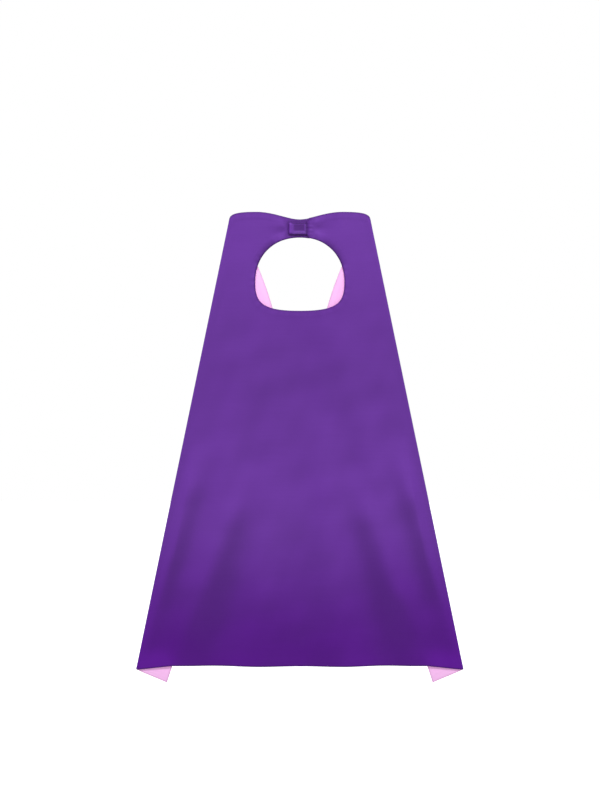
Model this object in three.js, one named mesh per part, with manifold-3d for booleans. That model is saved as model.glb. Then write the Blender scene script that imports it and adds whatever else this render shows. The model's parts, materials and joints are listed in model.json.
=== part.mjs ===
// A child's two-sided satin cape with a hook-and-loop closure at the throat and both side edges folded behind.
// Millimetres. X runs across the cape, Y from the outer satin towards the wearer's back, and Z up.
// The origin is the centre of the neck opening, on the outer face.
import * as THREE from 'three';
import { mergeVertices } from 'three/addons/utils/BufferGeometryUtils.js';
import Module from 'manifold-3d';

const wasm = await Module();
wasm.setup();

// The cloth
const satin = 0.4; // one layer of satin
const turning = 0.5; // the two turned-in edges, pressed together
const layGap = 0.3; // clearance between cloths that lie on each other
const stack = 2 * satin + 2 * layGap + turning; // outer face to lining face
const foldRadius = 3; // outside radius of the side folds

// The flat cut, as half widths and heights from the centre of the neck opening
const neckHalfWidth = 68.6;
const neckHalfHeight = 56.2;
const neckWidestDrop = 12; // the opening is widest this far below its centre
const strapHeight = 28.2; // strap at the closure, from the opening to the notch
const crestRise = 11.6; // the shoulders stand this far above the notch
const crestAcross = 67;
const collarDrop = 10; // the top edge meets the side folds this far below the crest
const shoulderAcross = 248.5;
const shoulderDrop = 50.7;
const hemAcross = 304.3;
const hemDrop = 604;
const hemDip = 5.5; // the hem hangs this much lower at its corners
const hemDipStart = 197; // where the hem starts to dip

// The side folds
const foldAcross = 126.4; // half width between the folds, level with the centre of the opening
const foldFlare = 0.207; // each fold runs out by this much for every millimetre down

// The closure
const tabHeight = 18.8;
const upperTabReach = -17.7; // free end of the upper tab
const tabNecking = 9; // the upper strap narrows to the tab between here and the strap's full height
const neckingLength = 5;
const tabCorner = 2.5;
const patchLength = 22.5;
const patchThickness = 1;
const patchEndMargin = 5.3; // cloth of the upper tab past the end of its patch
const patchSideMargin = 1.15; // cloth above and below the patch
const lowerTabMargin = 6.5; // cloth of the lower tab past the end of its patch
const lowerHingeClearance = 2.3; // from the upper tab's end to the line where the lower tab bends
const upperHingeClearance = 3.4; // from the lower tab's end to the line where the upper tab bends
const liftStart = 70; // the upper strap starts to rise over the lower one here
const liftLength = 45;

// Seams
const threadInset = [0.5, 1.1]; // the seam's stitches, from the edge
const turningInset = [1.6, 10]; // the turned-in edges, from the edge
const tabTurningInset = [1.6, 6];
const stitchInset = 1.4; // box stitching, inside the patch's edge
const stitchWidth = 0.7;
const stitchHeight = 0.4;

// Drape
const drapeStart = 150; // the cloth lies flat above this drop
const foldDepth = 5; // height of the soft folds at the hem
const foldCount = 4;
const bow = 7; // the middle stands forward by this much at the hem

// Grid of each cloth
const gridMargin = 14; // the grid reaches past the cloth by this much
const gridRows = 17;
const gridAcross = 16;
const flapCells = 7; // cells across that a folded flap covers
const turnSteps = 3; // steps round each quarter of a fold

const foldSecant = Math.hypot(1, foldFlare);
const notchZ = neckHalfHeight + strapHeight;
const crestZ = notchZ + crestRise;
const strapCentreZ = neckHalfHeight + strapHeight / 2;
const patchStart = upperTabReach + patchEndMargin;
const patchCentre = patchStart + patchLength / 2;
const patchHeight = tabHeight - 2 * patchSideMargin;
const lowerTabReach = patchStart + patchLength + lowerTabMargin; // free end of the lower tab
const upperHinge = lowerTabReach + upperHingeClearance;
const lowerHinge = upperTabReach - lowerHingeClearance;
const patchGap = patchThickness + layGap;
const closureLift = stack + layGap + 2 * patchGap; // the upper tab's outer face stands this far forward
const deep = 200; // reach of the cutting solids, past every face that they cut

const depths = {
  outer: [0, satin],
  between: [satin + layGap, satin + layGap + turning],
  lining: [stack - satin, stack],
};

const purple = new THREE.Color(0x66359a);
const pink = new THREE.Color(0xfbc9f7);

// ---- solids ----

function solidFrom(positions, triangles) {
  return new wasm.Manifold(new wasm.Mesh({ numProp: 3, vertProperties: positions, triVerts: triangles }));
}

function solidOf(geometry) {
  geometry.deleteAttribute('normal');
  geometry.deleteAttribute('uv');
  const merged = mergeVertices(geometry, 1e-5);
  return solidFrom(merged.attributes.position.array, new Uint32Array(merged.index.array));
}

function block(low, high) {
  const size = high.map((value, axis) => value - low[axis]);
  const geometry = new THREE.BoxGeometry(...size);
  geometry.translate(...low.map((value, axis) => value + size[axis] / 2));
  return solidOf(geometry);
}

// A straight prism along Y over an outline in X and Z.
function prism(points, front = -deep, back = deep) {
  const geometry = new THREE.ExtrudeGeometry(new THREE.Shape(points), { depth: back - front, bevelEnabled: false });
  geometry.rotateX(Math.PI / 2);
  geometry.translate(0, back, 0);
  return solidOf(geometry);
}

function asMesh(name, solid, finish) {
  const { vertProperties, triVerts } = solid.getMesh();
  const geometry = new THREE.BufferGeometry();
  geometry.setAttribute('position', new THREE.BufferAttribute(vertProperties, 3));
  geometry.setIndex(new THREE.BufferAttribute(triVerts, 1));
  geometry.computeVertexNormals();
  const mesh = new THREE.Mesh(geometry, new THREE.MeshStandardMaterial(finish));
  mesh.name = name;
  return mesh;
}

// ---- outlines ----

// Moves every side of a closed outline inwards by the same distance; a negative distance moves it outwards.
function inset(points, distance) {
  return points.map((point, i) => {
    const arriving = point.clone().sub(points.at(i - 1)).normalize();
    const leaving = points[(i + 1) % points.length].clone().sub(point).normalize();
    const inward = new THREE.Vector2(-arriving.y - leaving.y, arriving.x + leaving.x).normalize();
    const mitre = distance / (inward.y * leaving.x - inward.x * leaving.y);
    return point.clone().addScaledVector(inward, mitre);
  });
}

// Closes a half outline that runs down the -X side from the middle to the middle.
function mirrored(half) {
  const other = half.slice(1, -1).reverse();
  return [...half, ...other.map((point) => new THREE.Vector2(-point.x, point.y))];
}

function neckOutline() {
  const half = new THREE.Path();
  half.moveTo(0, neckHalfHeight);
  half.bezierCurveTo(
    -0.64 * neckHalfWidth, neckHalfHeight, -neckHalfWidth, 0.46 * neckHalfHeight,
    -neckHalfWidth, -neckWidestDrop,
  );
  const lowerPull = neckHalfHeight - 0.27 * (neckHalfHeight - neckWidestDrop);
  half.bezierCurveTo(
    -neckHalfWidth, -lowerPull, -0.85 * neckHalfWidth, -neckHalfHeight,
    0, -neckHalfHeight,
  );
  return mirrored(half.getPoints(9));
}

function patternOutline() {
  const collarZ = crestZ - collarDrop;
  const collarAcross = foldAcross - foldFlare * collarZ;
  const half = new THREE.Path();
  half.moveTo(0, notchZ);
  half.bezierCurveTo(-0.27 * crestAcross, notchZ, -0.6 * crestAcross, crestZ, -crestAcross, crestZ);
  half.bezierCurveTo(
    -crestAcross - 0.7 * (collarAcross - crestAcross), crestZ,
    -collarAcross + 2.5, collarZ + 7,
    -collarAcross, collarZ,
  );
  const fall = collarZ + shoulderDrop;
  half.bezierCurveTo(
    -collarAcross - 0.3 * (shoulderAcross - collarAcross), collarZ - 0.1 * fall,
    -collarAcross - 0.91 * (shoulderAcross - collarAcross), collarZ - 0.76 * fall,
    -shoulderAcross, -shoulderDrop,
  );
  half.quadraticCurveTo(-shoulderAcross - 3, -shoulderDrop - 7, -shoulderAcross - 4, -shoulderDrop - 17);
  half.lineTo(-hemAcross, -hemDrop - hemDip);
  half.lineTo(-0.5 * (hemDipStart + hemAcross), -hemDrop - 0.8 * hemDip);
  half.lineTo(-hemDipStart, -hemDrop);
  half.lineTo(0, -hemDrop);
  return mirrored(half.getPoints(6));
}

// Folds a point of the flat cut over the side fold on the given side.
function foldOver(point, side) {
  const away = new THREE.Vector2(side, foldFlare).divideScalar(foldSecant);
  const distance = point.dot(away) - foldAcross / foldSecant;
  return point.clone().addScaledVector(away, -2 * distance);
}

// ---- cloth ----

function smooth(value) {
  const t = Math.min(Math.max(value, 0), 1);
  return t * t * (3 - 2 * t);
}

// Half width of the flat part of the panel, where the cloth starts to turn round the fold.
function flatHalfWidth(z) {
  return foldAcross - foldFlare * z - foldRadius * foldSecant;
}

// Soft folds fan out down the panel and die away at the side folds.
function drape(across, z) {
  const drop = smooth((-z - drapeStart) / (1.3 * (hemDrop - drapeStart)));
  const still = smooth((0.94 - Math.abs(across)) / 0.35);
  const waves = Math.cos(foldCount * Math.PI * across * (1.2 - 0.3 * drop));
  return still * drop * (foldDepth * waves - bow * (1 - across * across)) * 1.25;
}

// The strap on +X rises over the lower tab as it nears the closure.
function strapLift(x, z) {
  if (x <= 0) return 0;
  return -closureLift * smooth((liftStart - x) / liftLength) * smooth(z / (0.7 * neckHalfHeight));
}

// A column runs down the cloth: across is -1 to 1 between the folds, and turn is its angle round a fold,
// from 0 on the panel to half a turn on the flap behind it.
function clothPoint({ across, turn }, z, depth) {
  const radius = foldRadius - depth;
  const flat = flatHalfWidth(z);
  const x = across * flat + Math.sign(across) * radius * foldSecant * Math.sin(turn);
  const y = foldRadius - radius * Math.cos(turn) + drape(across, z);
  return [x, y + (turn < Math.PI ? strapLift(x, z) : 0), z];
}

function clothColumns() {
  const splitTurn = layGap / 2 / (foldRadius - stack + satin / 2);
  const quarter = Math.PI / 2 - splitTurn;
  const ring = Array.from({ length: turnSteps }, (_, i) => (quarter * (i + 1)) / turnSteps);
  const flat = Array.from({ length: gridAcross + 1 }, (_, i) => (2 * i) / gridAcross - 1);
  const panel = [
    ...ring.toReversed().map((turn) => ({ across: -1, turn })),
    ...flat.map((across) => ({ across, turn: 0 })),
    ...ring.map((turn) => ({ across: 1, turn })),
  ];
  const behind = [
    ...ring.toReversed().map((turn) => ({ across: 1, turn: Math.PI - turn })),
    ...flat.toReversed().slice(0, flapCells + 1).map((across) => ({ across, turn: Math.PI })),
  ];
  const left = behind.toReversed().map(({ across, turn }) => ({ across: -across, turn }));
  return { panel, left, right: behind };
}

// The closed sheet between two depths of the cloth, over the given columns.
function sheet(columns, [near, far]) {
  const flapTip = foldOver(new THREE.Vector2(hemAcross, -hemDrop - hemDip), 1);
  const low = flapTip.y - gridMargin;
  const high = crestZ + gridMargin;
  const rows = Array.from({ length: gridRows + 1 }, (_, i) => low + ((high - low) * i) / gridRows);
  const positions = [near, far].flatMap((depth) =>
    rows.flatMap((z) => columns.flatMap((column) => clothPoint(column, z, depth))),
  );
  const width = columns.length;
  const height = rows.length;
  const at = (layer, row, column) => (layer * height + row) * width + column;
  const triangles = [];
  const quad = (a, b, c, d) => triangles.push(a, b, c, a, c, d);
  for (let row = 0; row < height - 1; row++) {
    for (let column = 0; column < width - 1; column++) {
      quad(at(0, row, column), at(0, row, column + 1), at(0, row + 1, column + 1), at(0, row + 1, column));
      const back = [at(1, row, column), at(1, row + 1, column), at(1, row + 1, column + 1), at(1, row, column + 1)];
      triangles.push(back[0], back[1], back[2], back[0], back[2], back[3]);
    }
    const end = width - 1;
    quad(at(0, row, 0), at(0, row + 1, 0), at(1, row + 1, 0), at(1, row, 0));
    quad(at(0, row, end), at(1, row, end), at(1, row + 1, end), at(0, row + 1, end));
  }
  for (let column = 0; column < width - 1; column++) {
    const top = height - 1;
    quad(at(0, 0, column), at(1, 0, column), at(1, 0, column + 1), at(0, 0, column + 1));
    quad(at(0, top, column), at(0, top, column + 1), at(1, top, column + 1), at(1, top, column));
  }
  return solidFrom(new Float32Array(positions), new Uint32Array(triangles));
}

// ---- pieces ----

const pattern = patternOutline();
const neck = neckOutline();
const columns = clothColumns();
const closureGap = block([lowerHinge - layGap / 2, -deep, 0], [upperHinge + layGap / 2, deep, deep]);

// The cut of the cape, pulled in from every sewn edge.
function capeRegion(edge) {
  return prism(inset(pattern, edge)).subtract(prism(inset(neck, -edge)));
}

function panelRegion(edge) {
  return capeRegion(edge).subtract(closureGap);
}

function flapRegion(edge, side) {
  const folded = inset(pattern, edge).map((point) => foldOver(point, side));
  return prism(folded.reverse());
}

function lowerTabRegion(edge) {
  const reach = block([lowerHinge + layGap / 2, -deep, 0], [lowerTabReach - edge, deep, deep]);
  return capeRegion(edge).intersect(reach);
}

// The upper tab and the strap it narrows from, pulled in by edge on every sewn side.
function upperTabOutline(edge) {
  const half = tabHeight / 2 - edge;
  const end = upperTabReach + edge;
  const corner = Math.max(tabCorner - edge, layGap);
  const neckEnd = tabNecking + edge;
  const neckStart = neckEnd + neckingLength;
  const shape = new THREE.Path();
  shape.moveTo(end + corner, half);
  shape.quadraticCurveTo(end, half, end, half - corner);
  shape.lineTo(end, corner - half);
  shape.quadraticCurveTo(end, -half, end + corner, -half);
  shape.lineTo(neckEnd, -half);
  shape.quadraticCurveTo(neckStart, -half, neckStart, -strapHeight);
  shape.lineTo(2 * upperHinge, -strapHeight);
  shape.lineTo(2 * upperHinge, strapHeight);
  shape.lineTo(neckStart, strapHeight);
  shape.quadraticCurveTo(neckStart, half, neckEnd, half);
  return shape.getPoints(5).map((point) => new THREE.Vector2(point.x, point.y + strapCentreZ));
}

function upperTabRegion(edge) {
  const reach = block([upperTabReach - layGap, -deep, 0], [upperHinge - layGap / 2, deep, deep]);
  return prism(upperTabOutline(edge)).intersect(capeRegion(edge)).intersect(reach);
}

// A ribbon between two distances from the sewn edge.
function ribbon(region, [from, to]) {
  return region(from).subtract(region(to));
}

function slab([near, far], forward = 0) {
  return block([-deep, near - forward, 0], [deep, far - forward, deep]);
}

function rectangle(length, height) {
  const corners = [[-1, -1], [1, -1], [1, 1], [-1, 1]];
  return corners.map(([x, z]) => new THREE.Vector2(patchCentre + (x * length) / 2, strapCentreZ + (z * height) / 2));
}

function patch(front) {
  return prism(rectangle(patchLength, patchHeight), front, front + patchThickness);
}

function boxStitching(front) {
  const ring = rectangle(patchLength - 2 * stitchInset, patchHeight - 2 * stitchInset);
  const back = front + stitchHeight;
  return prism(ring, front, back).subtract(prism(inset(ring, stitchWidth), front - 1, back + 1));
}

const finishes = {
  outer: { color: purple, roughness: 0.45, metalness: 0 },
  lining: { color: pink, roughness: 0.45, metalness: 0 },
  turning: { color: purple.clone().lerp(pink, 0.3), roughness: 0.7, metalness: 0 },
  thread: { color: purple.clone().multiplyScalar(0.6), roughness: 0.6, metalness: 0 },
  hooks: { color: purple.clone().multiplyScalar(0.5), roughness: 0.5, metalness: 0 },
  loops: { color: purple.clone().multiplyScalar(0.8), roughness: 0.9, metalness: 0 },
};

const cape = new THREE.Group();

function add(name, solid, finish) {
  cape.add(asMesh(name, solid, finishes[finish]));
}

function addPanel() {
  for (const [name, finish] of [['outer_centre_panel', 'outer'], ['lining_centre_panel', 'lining']]) {
    add(name, sheet(columns.panel, depths[finish]).intersect(panelRegion(0)), finish);
  }
  const between = sheet(columns.panel, depths.between);
  const runs = {
    hem: block([-hemAcross, -deep, -hemDrop - deep], [hemAcross, deep, -hemDrop / 2]),
    top_left: block([-deep, -deep, 0], [0, deep, deep]),
    top_right: block([0, -deep, 0], [deep, deep, deep]),
  };
  const inlays = { allowance: [turningInset, 'turning'], thread: [threadInset, 'thread'] };
  for (const [kind, [insets, finish]] of Object.entries(inlays)) {
    const outside = ribbon((edge) => prism(inset(pattern, edge)), insets).subtract(closureGap);
    for (const [run, reach] of Object.entries(runs)) {
      add(`${run}_seam_${kind}`, between.intersect(outside).intersect(reach), finish);
    }
    const collar = ribbon((edge) => prism(inset(neck, -edge)), [...insets].reverse()).subtract(closureGap);
    add(`neck_seam_${kind}`, between.intersect(collar), finish);
  }
}

function addFlap(label, side) {
  const region = (edge) => flapRegion(edge, side);
  const layer = (name) => sheet(columns[label], depths[name]);
  add(`outer_${label}_flap`, layer('outer').intersect(region(0)), 'outer');
  add(`lining_${label}_flap`, layer('lining').intersect(region(0)), 'lining');
  add(`${label}_flap_seam_allowance`, layer('between').intersect(ribbon(region, turningInset)), 'turning');
  add(`${label}_flap_seam_thread`, layer('between').intersect(ribbon(region, threadInset)), 'thread');
}

function addTab(label, region, forward) {
  const layer = (name) => slab(depths[name], forward);
  add(`outer_${label}_tab`, layer('outer').intersect(region(0)), 'outer');
  add(`lining_${label}_tab`, layer('lining').intersect(region(0)), 'lining');
  add(`${label}_tab_seam_allowance`, layer('between').intersect(ribbon(region, tabTurningInset)), 'turning');
  add(`${label}_tab_seam_thread`, layer('between').intersect(ribbon(region, threadInset)), 'thread');
}

addPanel();
addFlap('left', -1);
addFlap('right', 1);
addTab('upper', upperTabRegion, closureLift);
addTab('lower', lowerTabRegion, 0);
add('hook_patch', patch(stack + layGap - closureLift), 'hooks');
add('hook_patch_stitching', boxStitching(-closureLift - layGap - stitchHeight), 'thread');
add('loop_patch', patch(-patchGap), 'loops');
add('loop_patch_stitching', boxStitching(stack + layGap), 'thread');

export default cape;
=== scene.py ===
import json
import math

import bpy
import numpy as np
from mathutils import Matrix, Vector


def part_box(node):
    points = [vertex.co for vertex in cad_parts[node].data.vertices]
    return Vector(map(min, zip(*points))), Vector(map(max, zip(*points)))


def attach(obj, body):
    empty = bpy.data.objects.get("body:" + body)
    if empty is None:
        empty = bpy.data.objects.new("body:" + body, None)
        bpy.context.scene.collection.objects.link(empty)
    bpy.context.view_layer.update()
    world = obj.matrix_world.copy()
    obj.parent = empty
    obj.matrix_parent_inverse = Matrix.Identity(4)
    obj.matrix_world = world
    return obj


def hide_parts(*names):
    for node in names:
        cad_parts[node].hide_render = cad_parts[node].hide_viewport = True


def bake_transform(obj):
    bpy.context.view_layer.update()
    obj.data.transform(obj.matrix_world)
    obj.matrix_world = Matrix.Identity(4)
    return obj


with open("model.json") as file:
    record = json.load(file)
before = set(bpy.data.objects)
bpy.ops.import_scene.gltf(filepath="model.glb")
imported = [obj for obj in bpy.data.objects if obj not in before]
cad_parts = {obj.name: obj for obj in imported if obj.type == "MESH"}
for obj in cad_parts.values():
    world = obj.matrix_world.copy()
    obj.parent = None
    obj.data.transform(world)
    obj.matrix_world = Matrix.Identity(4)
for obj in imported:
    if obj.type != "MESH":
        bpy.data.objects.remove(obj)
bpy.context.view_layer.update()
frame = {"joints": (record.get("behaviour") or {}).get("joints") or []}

mm = 0.001
print("cape: frame loaded")

# Sizes shared by every piece, from the frame where it holds them.
foldJoint = next(j for j in frame["joints"] if j["name"] == "left_flap_fold")
upperJoint = next(j for j in frame["joints"] if j["name"] == "upper_tab_peel")
lowerJoint = next(j for j in frame["joints"] if j["name"] == "lower_tab_bend")

fold = {
    "across": -foldJoint["pos_m"][0],  # half width between the side folds, level with the opening's centre
    "flare": foldJoint["axis"][0] / foldJoint["axis"][2],  # each fold runs out by this much per metre down
    "radius": foldJoint["pos_m"][1],  # outside radius of the turned cloth
    "inlayStart": 8 * mm,  # the flap's seam starts this far past the line where the cloth starts to turn
    "lean": 0.55,  # how far the bend leans inwards over the flap, as a share of its depth
}
foldSecant = math.hypot(1, fold["flare"])

closure = {
    "lift": -upperJoint["pos_m"][1],  # the upper tab's outer face stands this far forward
    "upperHinge": upperJoint["pos_m"][0],
    "lowerHinge": lowerJoint["pos_m"][0],
    "centre": upperJoint["pos_m"][2],
    "bend": 3 * mm,  # the cloth bends over this much on each side of a hinge
    "liftStart": 70 * mm,  # the strap on +X starts to rise here and is up after the length
    "liftLength": 45 * mm,
    "liftHeight": 0.7,  # it rises from the opening's centre to this share of the opening's height
    "join": 4 * mm,  # the tabs' own shape hands over to the straps' drape over this distance
}

cut = {  # the flat pattern, as half widths and heights from the centre of the opening
    "neckWidth": 68.6 * mm,
    "neckHeight": 56.2 * mm,
    "neckWidestDrop": 12 * mm,
    "neckPulls": (0.64, 0.46, 0.27, 0.85),  # shares by which the opening's curves reach towards its corners
    "strap": 28.2 * mm,
    "crestRise": 11.6 * mm,
    "crestAcross": 67 * mm,
    "collarDrop": 10 * mm,
    "shoulderAcross": 248.5 * mm,
    "shoulderDrop": 50.7 * mm,
    "hemAcross": 304.3 * mm,
    "hemDrop": 604 * mm,
    "hemDip": 5.5 * mm,
    "hemDipStart": 197 * mm,
    "topPoints": 60,  # points on the top edge, from the notch to the crest
}

cloth = {
    "stack": lowerJoint["pos_m"][1],  # outer face to lining face at a seam
    "ply": 0.22 * mm,  # one layer of satin
    "rollReach": 1.5 * mm,  # the sewn edge rolls over within this distance
    "turningReach": 10 * mm,  # the turned-in edges end here
    "sink": 0.08 * mm,  # each face sinks this much past the turned-in edges
    "sinkSpan": (0.8, 0.5),  # where it starts and over how far, as shares of the turned-in edges' reach
    "gap": (0.02 * mm, 0.01 * mm),  # a layer's face and back stay this far from the middle between the layers
    "puckerHeight": 0.09 * mm,
    "puckerLength": 13 * mm,
    "puckerReach": 7 * mm,
}

drape = {
    "start": 150 * mm,  # the cloth hangs flat above this drop
    "depth": 5 * mm,
    "count": 4,
    "bow": 7 * mm,
    "fullAt": 1.3,  # the drape would be full at this share of the way from the start to the hem
    "strength": 1.25,
    "fan": (1.2, 0.3),  # the waves start this narrow and widen by this much as they fall
    "still": (0.94, 0.35),  # they die away by this share of the width, over this much of it
    "flapSag": 3.0 * mm,  # the flaps' free edges hang this far off the lining
    "sagOver": 60 * mm,  # and the sag grows over this distance from the fold
    "sagCloud": 170 * mm,
    "sagSeed": 11,
}

foldFade = {"before": 0.35, "after": 1.35, "over": 0.6}  # shares of a soft fold's length

# Soft folds laid into the panel, in mm: from, to, half width, height (+ towards the outer side)
softFolds = [
    ((-94, -345), (-150, -520), 23, 6.2),
    ((-160, -305), (-211, -470), 19, 5.4),
    ((-60, -110), (-112, -330), 24, 1.2),
    ((-22, -180), (-14, -330), 30, -1.0),
]

hemSwing = {  # below the back the cloth swells forwards, then falls back to the hem
    "swell": 3.6 * mm,
    "swellFrom": 150 * mm,
    "swellTo": 450 * mm,
    "slope": 0.095,  # how steeply it falls back
    "fallFrom": [505 * mm, 478 * mm, 455 * mm, 458 * mm, 550 * mm],  # by place across, from the middle out
    "fallAcross": [0 * mm, 70 * mm, 120 * mm, 200 * mm, 240 * mm],
    "ease": 55 * mm,
    "kick": 2.2 * mm,  # the hem's corners turn forwards again
    "kickDrop": 572 * mm,
    "kickAcross": 175 * mm,
    "kickOver": 50 * mm,
    "easeIn": 60 * mm,  # the swell and the fall come in over this much below the drape's start
}

neckRoll = {  # angles from the top of the opening, in radians
    "height": 1.6 * mm,
    "reach": 4.2 * mm,
    "from": 0.55,
    "to": 1.65,
    "fadeIn": 0.3,
    "fadeOut": 0.4,
}

wrinkles = {  # slow waves on top of the folds: height in mm, length, stretch down the cloth, seed
    "broad": (0.55, 95 * mm, 0.45, 3),
    "small": (0.25, 38 * mm, 0.6, 5),
    "above": 0.35,  # share of their height above the back
    "top": 60 * mm,
    "over": 260 * mm,
}

strapFan = {  # wrinkles that fan out of the closure into both straps
    "height": 0.25,  # in mm
    "waves": 7.5,
    "phases": (1.7, 0.4),  # on the left and on the right strap
    "reach": 20 * mm,
    "spread": 17 * mm,
    "low": (40 * mm, 12 * mm),  # they start above this height, and away from the tab
    "out": (20 * mm, 8 * mm),
}

# distances from a sewn edge of the nearest rows of points
edgeSteps = np.array([0, 0.12, 0.3, 0.55, 0.85, 1.2, 1.7, 2.5, 3.8, 5.5, 7.5, 9.5, 11.5]) * mm


# Eased step from 0 to 1: three times the square less twice the cube.
def smooth(value):
    t = np.clip(value, 0, 1)
    return t * t * (3 - 2 * t)


# Bell curve: the exponential of the squared distance over the width, made negative.
def bell(distance, width):
    return np.exp(-((distance / width) ** 2))


# Bernstein sum of three or four control points, at even steps of its parameter.
def bezier(points, count):
    t = np.linspace(0, 1, count)[:, None]
    n = len(points) - 1
    return sum(math.comb(n, k) * (1 - t) ** (n - k) * t**k * np.array(p) for k, p in enumerate(points))


# One line of points out of several, each of which starts where the one before it ends.
def joinLines(*lines):
    rest = [np.asarray(line, float)[1:] for line in lines[1:]]
    return np.concatenate([np.asarray(lines[0], float), *rest])


# Distance along a line at each of its points: the running sum of its steps.
def arcOf(line):
    return np.concatenate([[0], np.cumsum(np.hypot(*np.diff(line, axis=0).T))])


# Points at the given distances along a line of points.
def along(line, distances):
    arc = arcOf(line)
    return np.stack([np.interp(distances, arc, line[:, k]) for k in (0, 1)], axis=-1)


# The stretch of a line between two distances, with its own corners kept.
def stretch(line, start, end):
    arc = arcOf(line)
    inside = line[(arc > start + 1e-6) & (arc < end - 1e-6)]
    ends = along(line, [start, end])
    return np.concatenate([ends[:1], inside, ends[1:]])


# A line's points, evened out to about the given spacing.
def evened(line, spacing):
    length = arcOf(line)[-1]
    return along(line, np.linspace(0, length, max(2, int(round(length / spacing)) + 1)))


# Distance from each point to the nearest place on a line, and how far along the line that place is.
def nearestOn(line, points):
    start, step = line[:-1], np.diff(line, axis=0)
    arc = arcOf(line)[:-1]
    length = np.hypot(*step.T)
    flat = points.reshape(-1, 2)
    best = np.full(len(flat), 1e9)
    place = np.zeros(len(flat))
    for a, d, s, l in zip(start, step, arc, length):
        share = np.clip((flat - a) @ d / max(l * l, 1e-12), 0, 1)
        away = np.hypot(*(flat - a - share[:, None] * d).T)
        closer = away < best
        best[closer] = away[closer]
        place[closer] = s + share[closer] * l
    return best.reshape(points.shape[:-1]), place.reshape(points.shape[:-1])


# A sum of eight sine waves whose directions and lengths are drawn from a seeded generator. The divisor brings
# it to about -1 to 1.
def softNoise(x, z, wavelength, seed):
    draw = np.random.default_rng(seed)
    total = 0
    for _ in range(8):
        angle, phase, size = draw.uniform(0, 2 * np.pi), draw.uniform(0, 2 * np.pi), draw.uniform(0.7, 1.5)
        wave = 2 * np.pi / (wavelength * size)
        total = total + np.sin(wave * (x * math.cos(angle) + z * math.sin(angle)) + phase)
    return total / 4.2


# Heights of the top edge's notch, crest and corner above the opening's centre.
notchZ = cut["neckHeight"] + cut["strap"]
crestZ = notchZ + cut["crestRise"]
collarZ = crestZ - cut["collarDrop"]
collarX = fold["across"] - fold["flare"] * collarZ


# Left half of the neck opening, from its top to its bottom: two cubic curves.
def neckCurve():
    w, h, drop = cut["neckWidth"], cut["neckHeight"], cut["neckWidestDrop"]
    topPull, sidePull, lowPull, bottomPull = cut["neckPulls"]
    upper = bezier([(0, h), (-topPull * w, h), (-w, sidePull * h), (-w, -drop)], 120)
    lowest = h - lowPull * (h - drop)
    return joinLines(upper, bezier([(-w, -drop), (-w, -lowest), (-bottomPull * w, -h), (0, -h)], 120))


# Left half of the cape's outline in the flat cut, from the notch round to the middle of the hem: cubic curves
# over the crest, the corner and the shoulder, whose control points are shares of each stretch, then the hem.
def outlineCurve():
    crest, shoulder = cut["crestAcross"], cut["shoulderAcross"]
    span, fall = shoulder - collarX, collarZ + cut["shoulderDrop"]
    reach = 0.7 * (collarX - crest)
    top = bezier([(0, notchZ), (-0.27 * crest, notchZ), (-0.6 * crest, crestZ), (-crest, crestZ)],
                 cut["topPoints"])
    collar = bezier([(-crest, crestZ), (-crest - reach, crestZ), (-collarX + 2.5 * mm, collarZ + 7 * mm),
                     (-collarX, collarZ)], 40)
    slope = bezier([(-collarX, collarZ), (-collarX - 0.3 * span, collarZ - 0.1 * fall),
                    (-collarX - 0.91 * span, collarZ - 0.76 * fall), (-shoulder, -cut["shoulderDrop"])], 60)
    down = cut["shoulderDrop"]
    turn = bezier([(-shoulder, -down), (-shoulder - 3 * mm, -down - 7 * mm),
                   (-shoulder - 4 * mm, -down - 17 * mm)], 8)
    dipX = 0.5 * (cut["hemDipStart"] + cut["hemAcross"])
    hem = [turn[-1], (-cut["hemAcross"], -cut["hemDrop"] - cut["hemDip"]),
           (-dipX, -cut["hemDrop"] - 0.8 * cut["hemDip"]), (-cut["hemDipStart"], -cut["hemDrop"]),
           (0, -cut["hemDrop"])]
    return joinLines(top, collar, slope, turn, hem)


neckHalf = neckCurve()
outlineHalf = outlineCurve()


# How far a point of the cut lies past the line where the cloth starts to turn, square to the fold.
def pastFold(x, z):
    return (np.abs(x) - fold["across"] + fold["flare"] * z) / foldSecant + fold["radius"]


# Half width of the panel at a height, up to where the cloth starts to turn.
def flatHalfWidth(z):
    return fold["across"] - fold["flare"] * z - fold["radius"] * foldSecant


# Broad drape: cosine folds that fan out below the back, on a middle that stands forward, still at the side
# folds.
def broadDrape(x, z):
    across = np.clip(x / flatHalfWidth(z), -1, 1)
    drop = smooth((-z - drape["start"]) / (drape["fullAt"] * (cut["hemDrop"] - drape["start"])))
    still = smooth((drape["still"][0] - np.abs(across)) / drape["still"][1])
    waves = np.cos(drape["count"] * np.pi * across * (drape["fan"][0] - drape["fan"][1] * drop))
    return still * drop * (drape["depth"] * waves - drape["bow"] * (1 - across**2)) * drape["strength"]


# Each soft fold is a bell curve across the line it follows, and fades in and out along it.
def laidFolds(x, z):
    total = np.zeros_like(x)
    for side in (-1, 1):
        for start, end, width, height in softFolds:
            a, b = (np.array(point) * mm * [-side, 1] for point in (start, end))
            run = b - a
            length = np.hypot(*run)
            share = ((x - a[0]) * run[0] + (z - a[1]) * run[1]) / length**2
            off = ((x - a[0]) * run[1] - (z - a[1]) * run[0]) / length
            window = (smooth((share + foldFade["before"]) / foldFade["over"])
                      * smooth((foldFade["after"] - share) / foldFade["over"]))
            total = total - height * mm * window * bell(off, width * mm)
    return total


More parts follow.
